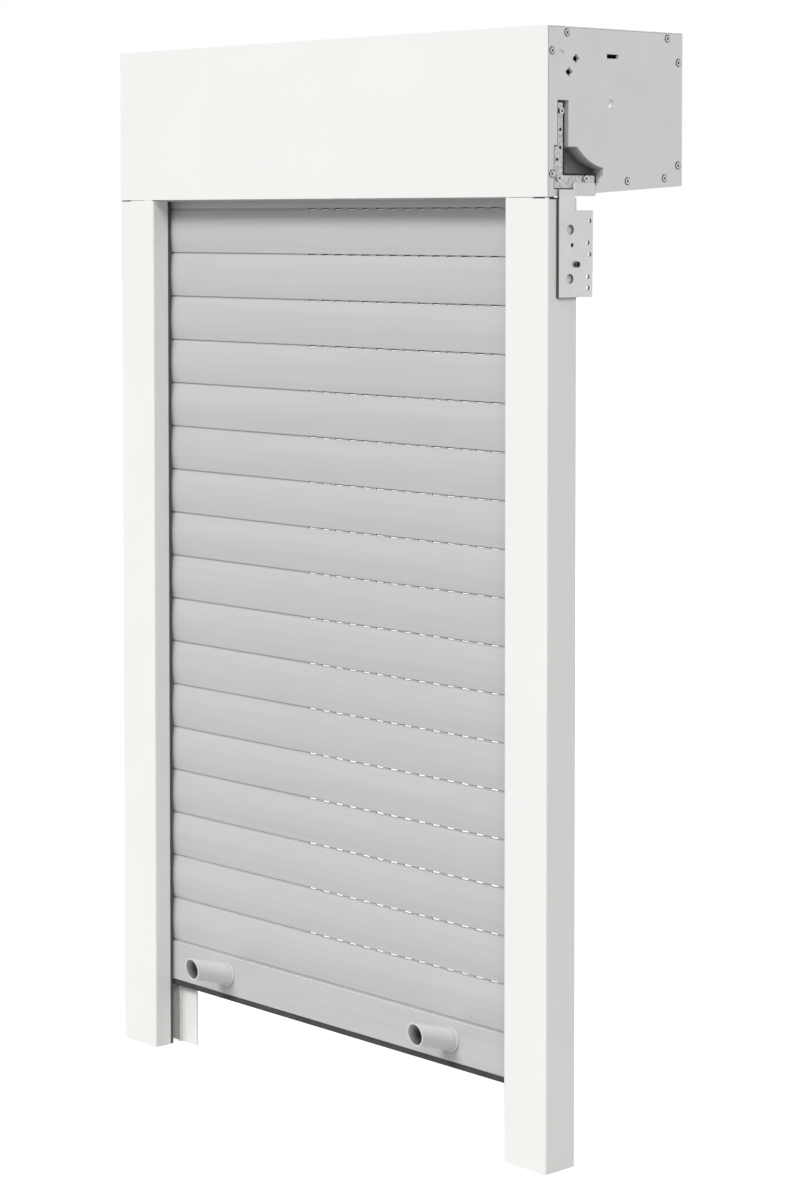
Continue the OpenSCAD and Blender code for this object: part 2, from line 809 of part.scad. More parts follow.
module strap_clips() color(black) {
    for (x = [-strap_pitch, 0, strap_pitch])
        along_x(x - clip_w / 2, x + clip_w / 2) translate([curtain_y, slat_z(1) + slat_pitch]) difference() {
            span([hook_mid - clip_t / 2, 0], [hook_mid + clip_t / 2, clip_h]);
            pocket_section();
        }
}

// The hook on top of a slat or bar: a neck with a head that points backwards
module hook_section(body_h, pitch) {
    span([neck_front, body_h - lip_t], [neck_back, pitch + lip_t + rest_clear + head_h / 2]);
    span([neck_front, pitch + lip_t + rest_clear],
        [neck_front + head_w, pitch + lip_t + rest_clear + head_h]);
}

// The bowed outline of a slat, drawn in by a wall, between two heights
module bowed(wall, z0, z1) {
    difference() {
        intersection() {
            span([-curtain_t / 2 + wall, z0], [curtain_t / 2 - wall, z1]);
            translate([front_r - curtain_t / 2, slat_mid]) circle(r = front_r - wall, $fn = 96);
        }
        translate([curtain_t / 2 - back_hollow + back_r, slat_mid]) circle(r = back_r + wall, $fn = 96);
    }
}

module slat_section() {
    back_inside = curtain_t / 2 - back_hollow - slat_wall;
    difference() {
        union() {
            bowed(0, 0, slat_body_h);
            span([back_inside, -back_drop], [curtain_t / 2, lip_t / 2]);
            hook_section(slat_body_h, slat_pitch);
        }
        bowed(slat_wall, pocket_roof + slat_wall, slat_body_h - lip_t - back_drop);
        pocket_section();
        span([neck_back, slat_body_h - back_drop], [curtain_t, slat_body_h + past / 2]);
    }
}

// A row of light slots through the neck of a slat, which its upper neighbour's back edge hides
// from straight ahead. It runs up to the right rail.
module light_slots() {
    first = ceil((light_slot_left + light_slot_w / 2) / light_slot_pitch);
    last = floor((half_w - rail_w - light_slot_w / 2) / light_slot_pitch);
    for (k = [first:last])
        translate([k * light_slot_pitch - light_slot_w / 2, neck_front - neck_t / 2,
            slat_body_h + light_slot_edge])
            cube([light_slot_w, 2 * neck_t, slat_gap - 2 * light_slot_edge]);
}

module slat(i) color(slat_grey) {
    translate([0, curtain_y, slat_z(i)]) difference() {
        along_x(-slat_end_x, slat_end_x) slat_section();
        light_slots();
    }
}

module bar_section() {
    edge = curtain_t / 2;
    difference() {
        union() {
            span([-edge + bar_edge_r, 0], [edge, bar_body_h]);
            span([-edge, bar_edge_r], [0, bar_body_h - bar_edge_r]);
            for (z = [bar_edge_r, bar_body_h - bar_edge_r])
                translate([-edge + bar_edge_r, z]) circle(r = bar_edge_r);
            hook_section(bar_body_h, bar_h);
        }
        span([-edge + bar_wall, bar_web_z], [edge - bar_wall, bar_body_h - bar_wall - back_drop]);
        span([neck_back, bar_body_h - back_drop], [curtain_t, bar_body_h + past / 2]);
        span([-seal_root_w / 2 - plug_clear, bar_wall],
            [seal_root_w / 2 + plug_clear, bar_wall + seal_root_h + 2 * plug_clear]);
        span([-seal_mouth / 2 - plug_clear, -past], [seal_mouth / 2 + plug_clear, bar_wall + past / 2]);
    }
}

module bottom_bar() color(slat_grey) {
    difference() {
        translate([0, curtain_y, bar_z]) along_x(-slat_end_x + cap_t, slat_end_x - cap_t) bar_section();
        for (x = [-stop_x, stop_x]) translate([x + stop_shift, bar_front_y - past, stop_z])
            rotate([-90, 0, 0]) cylinder(d = screw_d + 2 * plug_clear, h = bar_wall + 2 * past);
    }
}

// Rubber seal: a root in the bar's groove and a rounded bulb below it
module bottom_seal() color(black) {
    bulb_r = seal_w / 2;
    translate([0, curtain_y, bar_z]) along_x(-slat_end_x + cap_t, slat_end_x - cap_t) {
        span([-seal_root_w / 2, bar_wall + plug_clear],
            [seal_root_w / 2, bar_wall + plug_clear + seal_root_h]);
        span([-seal_mouth / 2, -bulb_r], [seal_mouth / 2, bar_wall + seal_root_h]);
        span([-bulb_r, -seal_h + bulb_r], [bulb_r, 0]);
        translate([0, -seal_h + bulb_r]) circle(r = bulb_r);
    }
}

module bar_end_caps() color(black) {
    edge = curtain_t / 2;
    grip = bar_wall + plug_clear;
    for (side = [1, -1]) on_side(side) translate([0, curtain_y, bar_z]) {
        along_x(slat_end_x - cap_t, slat_end_x) span([-edge, 0], [edge, bar_body_h - back_drop]);
        along_x(slat_end_x - cap_t - cap_peg, slat_end_x - cap_t / 2)
            span([-edge + grip, bar_web_z + plug_clear],
                [edge - grip, bar_body_h - bar_wall - back_drop - plug_clear]);
    }
}

// A cylinder about the slanted axis of a stop, between two distances from the bar
module slanted(h0, h1, d) {
    rotate([90 - stop_tilt, 0, 0]) translate([0, 0, h0]) cylinder(d = d, h = h1 - h0);
}

// A cylinder square to the bar's front, between two distances from it
module square_on(h0, h1, d) {
    rotate([90, 0, 0]) translate([0, 0, h0]) cylinder(d = d, h = h1 - h0);
}

// Hollow slanted stop that meets the box when the curtain is fully raised
module stop(side) color(grey) {
    mouth = [0, -stop_len * cos(stop_tilt), stop_len * sin(stop_tilt)];
    translate([side * stop_x + stop_shift, bar_front_y, stop_z]) difference() {
        union() {
            intersection() {
                slanted(-stop_d / 2, stop_len + stop_d / 2, stop_d);
                translate([-stop_d, -2 * stop_len, -stop_len])
                    cube([2 * stop_d, 2 * stop_len, 2 * stop_len]);
            }
            square_on(0, stop_rim_t, stop_rim_d);
        }
        slanted(stop_bore_z, stop_len + stop_d, stop_bore);
        translate(mouth) rotate([stop_mouth, 0, 0]) translate([-stop_d, -2 * stop_d, -stop_d])
            cube(2 * stop_d);
        square_on(-past, stop_foot_t + past, screw_d + 2 * plug_clear);
        square_on(stop_foot_t, stop_foot_t + head_d, head_d + 2 * plug_clear);
    }
}

module stop_right() stop(1);
module stop_left() stop(-1);

module stop_screws() color(steel) {
    for (x = [-stop_x, stop_x])
        translate([x + stop_shift, bar_front_y - stop_foot_t, stop_z]) rotate(-90)
            pan_screw(stop_foot_t + bar_wall + plug_clear);
}

front_panel();
top_panel();
back_panel();
floor_panel();
inlet_lip();
end_plate_right();
end_plate_left();
end_plate_screws();
corner_bracket_right();
corner_bracket_left();
bracket_screws();
hanger_plate_right();
hanger_plate_left();
hanger_plate_screws();
guide_rail_right();
guide_rail_left();
sealing_strips_right();
sealing_strips_left();
rail_inlet_right();
rail_inlet_left();
bearing_holder();
idler_bearing();
motor_bracket();
motor_head();
motor_body();
roller_tube();
crown_ring();
drive_wheel();
motor_shaft();
idler_plug();
idler_pin();
hanger_straps();
strap_clips();
for (i = [1:slat_n]) slat(i);
bottom_bar();
bottom_seal();
bar_end_caps();
stop_right();
stop_left();
stop_screws();
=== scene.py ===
# Looks of an exterior roller shutter: white box and rails, grey slatted curtain.
import json
import math

import bpy
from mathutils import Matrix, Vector


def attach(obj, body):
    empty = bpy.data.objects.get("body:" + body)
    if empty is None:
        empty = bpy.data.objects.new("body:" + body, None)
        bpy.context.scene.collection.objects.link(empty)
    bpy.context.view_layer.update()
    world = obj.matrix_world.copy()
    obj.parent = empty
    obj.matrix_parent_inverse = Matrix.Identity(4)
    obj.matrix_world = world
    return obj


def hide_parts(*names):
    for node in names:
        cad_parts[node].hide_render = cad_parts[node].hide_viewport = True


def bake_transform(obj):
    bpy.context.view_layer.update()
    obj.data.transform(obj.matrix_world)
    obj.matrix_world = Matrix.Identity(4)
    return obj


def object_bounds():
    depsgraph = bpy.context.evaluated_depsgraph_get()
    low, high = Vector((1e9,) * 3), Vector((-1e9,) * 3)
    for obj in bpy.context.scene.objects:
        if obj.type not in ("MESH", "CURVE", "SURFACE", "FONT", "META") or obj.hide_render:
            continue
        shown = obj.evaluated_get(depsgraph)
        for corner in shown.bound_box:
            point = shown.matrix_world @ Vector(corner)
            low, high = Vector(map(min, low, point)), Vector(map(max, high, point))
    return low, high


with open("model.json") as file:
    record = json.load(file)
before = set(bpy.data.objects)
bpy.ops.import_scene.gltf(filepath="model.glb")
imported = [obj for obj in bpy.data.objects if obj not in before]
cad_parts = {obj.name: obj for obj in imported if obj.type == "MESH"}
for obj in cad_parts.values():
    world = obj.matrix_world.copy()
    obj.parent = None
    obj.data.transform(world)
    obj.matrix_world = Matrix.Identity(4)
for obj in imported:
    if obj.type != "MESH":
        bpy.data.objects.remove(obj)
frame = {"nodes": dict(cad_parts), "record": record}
cad_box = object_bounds()
nodes = frame["nodes"]

MM = 0.001

# The photograph's height, focal length and middle row in pixels, and the camera that took it
PHOTO_H = 1200
FOCAL_PX = 2960.6
PRINCIPAL_ROW = 354
SENSOR_MM = 36
CAMERA_AT = Vector((1926.8, -1727.1, 375.9)) * MM
CAMERA_YAW = math.radians(47.09)
CAMERA_PITCH = math.radians(2.573)

# Colours, linear
WHITE = (0.90, 0.905, 0.88)
SLAT_GREY = (0.552, 0.552, 0.552)
END_GREY = (0.855, 0.857, 0.855)
# Paler than the end plates, as a painted highlight on the nubs
NUB_HIGHLIGHT_WHITE = (0.97, 0.97, 0.965)
STOP_GREY = (0.76, 0.76, 0.76)
ZINC = (0.55, 0.555, 0.55)
STEEL = (0.64, 0.64, 0.63)
BURNISHED = (0.012, 0.012, 0.012)
RUBBER = (0.03, 0.03, 0.032)
STRIP_DARK = (0.09, 0.09, 0.09)
# The pale pile is partly painted light, lifting the shaded inside of the slot
STRIP_PALE = (0.85, 0.85, 0.845)
BLACK = (0.035, 0.035, 0.037)
# Pocket lining, darker at its floor than at its rim as painted shade
LINING_SHADED_FLOOR = (0.27, 0.272, 0.26)
LINING_LIT_RIM = (0.62, 0.625, 0.61)
FLOOR_GREY = (0.38, 0.38, 0.38, 1)
PURE_WHITE = (1, 1, 1, 1)

# Light: the even light from all round, the backdrop, the floor's own glow and half its width, and
# the lamps, each with its direction from straight ahead, height, strength and spread
AMBIENT = 0.355
BACKDROP = 1.0
FLOOR_GLOW = 0.85
FLOOR_HALF_M = 30.0
LAMPS = {
    "key": (math.radians(0), math.radians(42), 1.96, math.radians(20)),
    "right": (math.radians(50), math.radians(36), 0.80, math.radians(20)),
    "side": (math.radians(108), math.radians(32), 0.27, math.radians(26)),
    "back": (math.radians(200), math.radians(34), 1.1, math.radians(40)),
}

# Grain of the finishes, in mm along X, Y and Z, and the part of a noise's range that is used
CLOUDS = (90, 90, 90)
ORANGE_PEEL = (1.3, 1.3, 1.3)
ROLLED_LINES = (110, 8, 0.9)
ROLLED_BANDS = (260, 20, 6)
FLOW_MARKS = (60, 25, 40)
FINE_GRAIN = (0.5, 0.5, 0.5)
SHEET_LINES = (14, 14, 0.35)
BLOOM = (12, 3, 3)
RUBBER_GRAIN = (0.6, 0.6, 0.6)
PILE = (0.5, 0.5, 6)
NOISE_RANGE = (0.3, 0.7)

# Painted shade in recesses: its reach in mm, the share of the colour that it leaves where it is
# darkest, and the openness of the recess from there to where it ends
JOINT_SHADE = (14.0, 0.88, 0.3, 0.9)
MOULD_SHADE = (1.2, 0.2, 0.25, 0.6)
BORE_SHADE = (20.0, 0.05, 0.1, 0.58)
SCREW_SHADE = (2.4, 0.02, 0.4, 0.92)

# Rays sent out at each point to find recesses and edges
SHADE_SAMPLES = 8
EDGE_SAMPLES = 6

# Range of a normal's share along X in which a sheet's face turns to its cut edge
CUT_EDGE_RANGE = (0.4, 0.6)

# Soft edges in mm, by slot, and how they are made
SOFT_EDGES = {"box_paint": 0.6, "rail_paint": 0.35}
SOFT_SEGMENTS = 2
SHARP_ANGLE = math.radians(50)
WELD_MM = 0.002

# Middle of the rails' slot between the front and the back sealing strip
STRIP_MIDDLE_Y = -8.0

# Hanger straps: spring steel that runs from the top slat's clips to the tube and over it, with
# their foot and the tube's axis in (Y, Z)
STRAP_X = (-170, 0, 170)
STRAP_W = 20
STRAP_T = 0.8
STRAP_FOOT = Vector((-7.3, 438.6))
STRAP_RADIUS = 22.15
STRAP_WRAP = math.radians(80)
STRAP_RUN_STEPS = 10
STRAP_WRAP_STEPS = 12
TUBE_AXIS = Vector((40.0, 471.0))

# The end plates' outer face, and the box's lower front corner in (Y, Z), from which the details
# of an end plate are measured as [back, up]
PLATE_FACE = 277.5
BOX_CORNER = Vector((-34.0, 395.0))

# Lining of the pocket behind each corner bracket, which the end plate's round cheek bounds: a dark
# cup, part of whose darkness is painted shade of the deep pocket, with painted shade growing from
# its rim to its floor
POCKET_LOW = 8.6
POCKET_TOP = 40.5
POCKET_FRONT = 18.4
POCKET_BACK = 65
POCKET_CHAMFER = Vector((56, 17.6))
CHEEK_AT = Vector((74.0, 76.0))
CHEEK_R = 53.0
CHEEK_STEPS = 12
LINING_INSET = 0.45
LINING_DEPTHS = (3.4, 15.6)
LINING_T = 0.35

# Dark rings that paint the shadow in the gap round each corner bracket, with the bracket's
# outline, and dark rings that paint the shade under the edge screws
BRACKET = (
    (8.4, 7.0), (55.4, 7.0), (55.4, 17.5), (18.4, 17.5),
    (18.4, 75.5), (12.4, 75.5), (12.4, 40.5), (8.4, 40.5),
)
SHADE_RING_GAPS = (0.06, 1.5)
SHADE_RING_DEPTHS = (0.2, 2.9)
EDGE_SCREWS = (
    (5.5, 116.5), (22.5, 131.5), (142.0, 131.5), (155.5, 27.0),
    (155.5, 112.0), (94.0, 13.44), (139.0, 16.23),
)
SCREW_RING_RADII = (2.6, 3.2)
SCREW_RING_DEPTHS = (0.9, 1.55)
SCREW_RING_SIDES = 24

# Moulding nubs in the end plates' middle dimples, paler than the plate as a painted highlight,
# with the heights of foot and top over the face
NUB_AT = (73.4, 73.3)
NUB_R = 2.5
NUB_HEIGHTS = (-1.15, 1.0)
NUB_ROWS = 5
NUB_SIDES = 16

# Dark strips that paint the shadow in the seams, each as its ranges in X, Y and Z: in the seam
# between the box and a rail's outer top corner, in front and beside it, and behind the hanger
# plate's front and lower edges
SHADOW_STRIPS = (
    ((262.0, 275.2), (-34.12, -34.0), (394.0, 394.9)),
    ((277.5, 277.62), (-31.5, -23.9), (393.2, 394.6)),
    ((277.52, 278.25), (-23.4, -20.5), (314.0, 394.6)),
    ((277.52, 278.25), (-20.48, -0.6), (314.0, 316.5)),
)

# Faces of a box whose corners are counted along Z first, then Y, then X
BOX_FACES = ((0, 1, 3, 2), (4, 6, 7, 5), (0, 4, 5, 1), (2, 3, 7, 6), (0, 2, 6, 4), (1, 5, 7, 3))


def shade(colour, share):
    """The colour, darker or lighter by a share."""
    return tuple(min(1.0, c * share) for c in colour)


def new_material(name, roughness, metallic=0.0):
    """A material with its Principled shader, as (material, node tree, shader)."""
    made = bpy.data.materials.new(name)
    made.use_nodes = True
    tree = made.node_tree
    shader = tree.nodes["Principled BSDF"]
    shader.inputs["Roughness"].default_value = roughness
    shader.inputs["Metallic"].default_value = metallic
    return made, tree, shader


def calculate(tree, operation, first, second=None):
    """The result of an operation on a socket and, where given, a number or a second socket."""
    made = tree.nodes.new("ShaderNodeMath")
    made.operation = operation
    tree.links.new(first, made.inputs[0])
    if isinstance(second, float):
        made.inputs[1].default_value = second
    elif second:
        tree.links.new(second, made.inputs[1])
    return made.outputs["Value"]


def remap(tree, value, low_in, high_in, low_out=0.0, high_out=1.0):
    """A value, carried from one range over to another and held inside it."""
    made = tree.nodes.new("ShaderNodeMapRange")
    made.inputs["From Min"].default_value = low_in
    made.inputs["From Max"].default_value = high_in
    made.inputs["To Min"].default_value = low_out
    made.inputs["To Max"].default_value = high_out
    tree.links.new(value, made.inputs["Value"])
    return made.outputs["Result"]


def scale(tree, colour, share):
    """A colour socket, darkened by the share in another socket."""
    made = tree.nodes.new("ShaderNodeVectorMath")
    made.operation = "SCALE"
    tree.links.new(colour, made.inputs[0])
    tree.links.new(share, made.inputs["Scale"])
    return made.outputs["Vector"]


def coordinate(tree, source, axis):
    """One coordinate of a point in the part ("Object"), or of its normal ("Normal")."""
    place = tree.nodes.new("ShaderNodeTexCoord")
    parts = tree.nodes.new("ShaderNodeSeparateXYZ")
    tree.links.new(place.outputs[source], parts.inputs["Vector"])
    return parts.outputs[axis]


def grain(tree, size_mm, detail=2.0):
    """Noise in the part's own coordinates, with one grain size for each axis."""
    place = tree.nodes.new("ShaderNodeTexCoord")
    stretch = tree.nodes.new("ShaderNodeMapping")
    stretch.inputs["Scale"].default_value = [1 / (s * MM) for s in size_mm]
    noise = tree.nodes.new("ShaderNodeTexNoise")
    noise.inputs["Scale"].default_value = 1.0
    noise.inputs["Detail"].default_value = detail
    tree.links.new(place.outputs["Object"], stretch.inputs["Vector"])
    tree.links.new(stretch.outputs["Vector"], noise.inputs["Vector"])
    return noise.outputs["Fac"]


def spread(tree, noise, low, high):
    """The middle of a noise, mapped to a range of values."""
    return remap(tree, noise, *NOISE_RANGE, low, high)


def two_tone(tree, factor, dark, light):
    """A colour between two tones, from the middle of a factor's range."""
    ramp = tree.nodes.new("ShaderNodeValToRGB")
    for stop, position, colour in zip(ramp.color_ramp.elements, NOISE_RANGE, (dark, light)):
        stop.position = position
        stop.color = (*colour, 1)
    tree.links.new(factor, ramp.inputs["Fac"])
    return ramp.outputs["Color"]


def mottle(tree, noise, colour, low, high):
    """A colour that a noise makes darker and lighter by these shares."""
    return two_tone(tree, noise, shade(colour, low), shade(colour, high))


def relief(tree, height, depth_mm, strength, under=None):
    """A bump of a noise, over another one where that is given."""
    bump = tree.nodes.new("ShaderNodeBump")
    bump.inputs["Strength"].default_value = strength
    bump.inputs["Distance"].default_value = depth_mm * MM
    tree.links.new(height, bump.inputs["Height"])
    if under:
        tree.links.new(under, bump.inputs["Normal"])
    return bump.outputs["Normal"]


def round_edges(tree, radius_mm):
    """Normals that turn over a piece's sharp edges, as broken edges do."""
    edge = tree.nodes.new("ShaderNodeBevel")
    edge.samples = EDGE_SAMPLES
    edge.inputs["Radius"].default_value = radius_mm * MM
    return edge.outputs["Normal"]


def painted_corner_shade(tree, colour, corner_shade):
    """A colour that darkens in recesses and corners, as painted shade where little light reaches.
    """
    reach_mm, dark, low, high = corner_shade
    near = tree.nodes.new("ShaderNodeAmbientOcclusion")
    near.samples = SHADE_SAMPLES
    near.inputs["Distance"].default_value = reach_mm * MM
    return scale(tree, colour, remap(tree, near.outputs["AO"], low, high, dark, 1.0))


def painted_edge_shade(tree, colour, dark):
    """A sheet's colour, darker on its edge faces, all faces that don't look along X, as painted
    shade of the gap round the sheet.
    """
    along_x = calculate(tree, "ABSOLUTE", coordinate(tree, "Normal", "X"))
    return scale(tree, colour, remap(tree, along_x, *CUT_EDGE_RANGE, dark, 1.0))


def connect(tree, shader, **sockets):
    """Joins sockets to a shader's inputs, which the keywords name."""
    inputs = {"colour": "Base Color", "roughness": "Roughness", "normal": "Normal"}
    for name, socket in sockets.items():
        tree.links.new(socket, shader.inputs[inputs[name]])


def coated(name, colour, roughness):
    """Powder coat: fine orange peel, and faint clouds in tone and gloss."""
    made, tree, shader = new_material(name, roughness)
    clouds = grain(tree, CLOUDS, detail=3.0)
    peel = grain(tree, ORANGE_PEEL)
    connect(tree, shader,
            colour=mottle(tree, clouds, colour, low=0.988, high=1.006),
            roughness=spread(tree, peel, low=roughness - 0.04, high=roughness + 0.05),
            normal=relief(tree, peel, depth_mm=0.02, strength=0.25))
    return made


def rolled_coat(name, colour, roughness, corner_shade):
    """Coil coated sheet: fine lines that rolling leaves along X, and painted shade in its joints
    and corners.
    """
    made, tree, shader = new_material(name, roughness)
    lines = grain(tree, ROLLED_LINES, detail=3.0)
    bands = grain(tree, ROLLED_BANDS)
    mixed = tree.nodes.new("ShaderNodeMix")
    mixed.data_type = "FLOAT"
    mixed.inputs["Factor"].default_value = 0.5
    tree.links.new(lines, mixed.inputs["A"])
    tree.links.new(bands, mixed.inputs["B"])
    tone = mottle(tree, mixed.outputs["Result"], colour, low=0.945, high=1.04)
    connect(tree, shader,
            colour=painted_corner_shade(tree, tone, corner_shade),
            roughness=spread(tree, lines, low=roughness - 0.06, high=roughness + 0.08),
            normal=relief(tree, lines, depth_mm=0.03, strength=0.3))
    return made


def moulded(name, colour, roughness, corner_shade=None):
    """Moulded plastic: fine spark-eroded grain, slow flow marks, and painted shade in its
    recesses.
    """
    made, tree, shader = new_material(name, roughness)
    fine = grain(tree, FINE_GRAIN)
    flow = grain(tree, FLOW_MARKS, detail=3.0)
    tone = mottle(tree, flow, colour, low=0.975, high=1.015)
    if corner_shade:
        tone = painted_corner_shade(tree, tone, corner_shade)
    edges = round_edges(tree, radius_mm=0.35)
    connect(tree, shader,
            colour=tone,
            roughness=spread(tree, fine, low=roughness - 0.05, high=roughness + 0.07),
            normal=relief(tree, fine, depth_mm=0.02, strength=0.3, under=edges))
    return made


def plated(name, colour, roughness, spangle=0.05, patch_mm=7, edge=None, corner_shade=None):
    """Zinc plate: crystal patches, lines of the rolled sheet, and painted shade on its edge faces
    and in recesses.
    """
    made, tree, shader = new_material(name, roughness, metallic=1.0)
    patches = grain(tree, (patch_mm, patch_mm, patch_mm), detail=4.0)
    lines = grain(tree, SHEET_LINES)
    tone = mottle(tree, patches, colour, low=1 - spangle, high=1 + spangle)
    if edge:
        tone = painted_edge_shade(tree, tone, edge)
    if corner_shade:
        tone = painted_corner_shade(tree, tone, corner_shade)
    edges = round_edges(tree, radius_mm=0.3)
    connect(tree, shader,
            colour=tone,
            roughness=spread(tree, patches, low=roughness - 0.05, high=roughness + 0.07),
            normal=relief(tree, lines, depth_mm=0.02, strength=0.2, under=edges))
    return made


def rubbery(name, colour):
    """Matt rubber with a dusty bloom."""
    made, tree, shader = new_material(name, roughness=0.75)
    shader.inputs["Specular IOR Level"].default_value = 0.2
    bloom = grain(tree, BLOOM, detail=4.0)
    fine = grain(tree, RUBBER_GRAIN)
    connect(tree, shader,
            colour=mottle(tree, bloom, colour, low=0.8, high=1.35),
            roughness=spread(tree, fine, low=0.65, high=0.85),
            normal=relief(tree, fine, depth_mm=0.03, strength=0.3))
    return made


def brushes(name, front, back, middle_mm):
    """Sealing strips: dark pile on the slot's front side and pale pile on its back side, whose
    pale tone is partly painted light in the slot's shade.
    """
    made, tree, shader = new_material(name, roughness=0.8)
    pile = grain(tree, PILE)
    mixed = tree.nodes.new("ShaderNodeMix")
    mixed.data_type = "RGBA"
    is_back = calculate(tree, "GREATER_THAN", coordinate(tree, "Object", "Y"), middle_mm * MM)
    tree.links.new(is_back, mixed.inputs["Factor"])
    tree.links.new(mottle(tree, pile, front, low=0.7, high=1.4), mixed.inputs["A"])
    tree.links.new(mottle(tree, pile, back, low=0.85, high=1.1), mixed.inputs["B"])
    connect(tree, shader,
            colour=mixed.outputs["Result"],
            roughness=spread(tree, pile, low=0.7, high=0.9),
            normal=relief(tree, pile, depth_mm=0.1, strength=0.5))
    return made


def deep_plastic(name, floor, rim, depths):
    """Matt plastic that darkens from a pocket's rim to its floor as painted shade, with a fine
    grain.
    """
    made, tree, shader = new_material(name, roughness=0.6)
    rim_x, floor_x = ((PLATE_FACE - depth) * MM for depth in depths)
    along_x = calculate(tree, "ABSOLUTE", coordinate(tree, "Object", "X"))
    fine = grain(tree, FINE_GRAIN)
    connect(tree, shader,
            colour=two_tone(tree, remap(tree, along_x, floor_x, rim_x), floor, rim),
            normal=relief(tree, fine, depth_mm=0.02, strength=0.3))
    return made


# The materials
box_paint = coated("box_paint", WHITE, roughness=0.42)
rail_paint = coated("rail_paint", WHITE, roughness=0.42)
# The slats darken in their joints and next to the rails as painted shade
slat_paint = rolled_coat("slat_paint", SLAT_GREY, roughness=0.40, corner_shade=JOINT_SHADE)
motor_paint = coated("motor_paint", shade(WHITE, 0.85), roughness=0.38)
# The end plates darken in their small recesses as painted shade
end_plastic = moulded("end_plastic", END_GREY, roughness=0.5, corner_shade=MOULD_SHADE)
grey_plastic = moulded("grey_plastic", SLAT_GREY, roughness=0.42)
nub_highlight_plastic = moulded("nub_highlight_plastic", NUB_HIGHLIGHT_WHITE, roughness=0.35)
# The stops darken inside their bores as painted shade
stop_plastic = moulded("stop_plastic", STOP_GREY, roughness=0.42, corner_shade=BORE_SHADE)
black_plastic = moulded("black_plastic", BLACK, roughness=0.45)
lining_plastic = deep_plastic("lining_plastic", LINING_SHADED_FLOOR, LINING_LIT_RIM, LINING_DEPTHS)
zinc_sheet = plated("zinc_sheet", ZINC, roughness=0.45, spangle=0.06)
# The edge faces of the brackets and hanger plates are darkened as painted shade
bracket_zinc = plated("bracket_zinc", shade(ZINC, 0.80), roughness=0.36, spangle=0.3, patch_mm=2.5,
                      edge=0.2)
hanger_zinc = plated("hanger_zinc", ZINC, roughness=0.36, patch_mm=16, edge=0.4)
# The screws darken round their heads as painted shade
screw_steel = plated("screw_steel", STEEL, roughness=0.22, corner_shade=SCREW_SHADE)
strap_steel = plated("strap_steel", STEEL, roughness=0.28)
dark_screw = moulded("dark_screw", BURNISHED, roughness=0.14)
seal_rubber = rubbery("seal_rubber", RUBBER)
bar_rubber = rubbery("bar_rubber", shade(RUBBER, 2.0))
strip_pile = brushes("strip_pile", STRIP_DARK, STRIP_PALE, STRIP_MIDDLE_Y)

# Each record slot's material
FINISH = {
    "box_paint": box_paint,
    "rail_paint": rail_paint,
    "slat_paint": slat_paint,
    "motor_paint": motor_paint,
    "end_plastic": end_plastic,
    "grey_plastic": grey_plastic,
    "black_plastic": black_plastic,
    "zinc_sheet": zinc_sheet,
    "screw_steel": screw_steel,
    "dark_screw": dark_screw,
    "seal_rubber": seal_rubber,
    "strip_grey": strip_pile,
}

# Pieces whose finish differs from that of their slot
OWN_FINISH = {
    "corner_bracket_right": bracket_zinc,
    "corner_bracket_left": bracket_zinc,
    "hanger_plate_right": hanger_zinc,
    "hanger_plate_left": hanger_zinc,
    "stop_right": stop_plastic,
    "stop_left": stop_plastic,
    "bottom_seal": bar_rubber,
}


def soften(piece, width_mm):
    """Rounds the sharp edges of a piece, as real edges are broken."""
    weld = piece.modifiers.new("weld", "WELD")
    weld.merge_threshold = WELD_MM * MM
    edges = piece.modifiers.new("soft_edges", "BEVEL")
    edges.width = width_mm * MM
    edges.segments = SOFT_SEGMENTS
    edges.limit_method = "ANGLE"
    edges.angle_limit = SHARP_ANGLE
    edges.use_clamp_overlap = False
    normals = piece.modifiers.new("even_normals", "WEIGHTED_NORMAL")
    normals.keep_sharp = True


def dress_frame():
    """Gives each CAD node its material, and soft edges where its slot has them."""
    for part in frame["record"]["subparts"]:
        piece = nodes[part["node"]]
        slot = part["material_slot"]
        for place in piece.material_slots:
            place.material = OWN_FINISH.get(part["node"], FINISH[slot])
        if slot in SOFT_EDGES:
            soften(piece, SOFT_EDGES[slot])


def new_piece(name, points_mm, faces, made):
    """A mesh piece from points in millimetres."""
    mesh = bpy.data.meshes.new(name)
    mesh.from_pydata([Vector(p) * MM for p in points_mm], [], faces)
    mesh.validate()
    mesh.materials.append(made)
    piece = bpy.data.objects.new(name, mesh)
    bpy.context.collection.objects.link(piece)
    return piece


def smooth(piece):
    """Shades all faces of a piece as one curved surface."""
    for face in piece.data.polygons:
        face.use_smooth = True


def loop_face(first, count):
    """The face inside a loop of points, given by its first point."""
    return tuple(range(first, first + count))


def band(first, second, count):
    """The faces between two loops of points, each given by its first point."""
    return [(first + j, first + (j + 1) % count, second + (j + 1) % count, second + j)
            for j in range(count)]


def on_plate(side, height, outline):
    """The points of an outline of [back, up], at a height over an end plate's face."""
    return [(side * (PLATE_FACE + height), BOX_CORNER.x + at.x, BOX_CORNER.y + at.y)
            for at in outline]


def circle(at, radius, count):
    """Points round a centre."""
    turns = [math.tau * k / count for k in range(count)]
    return [Vector(at) + radius * Vector((math.cos(turn), math.sin(turn))) for turn in turns]


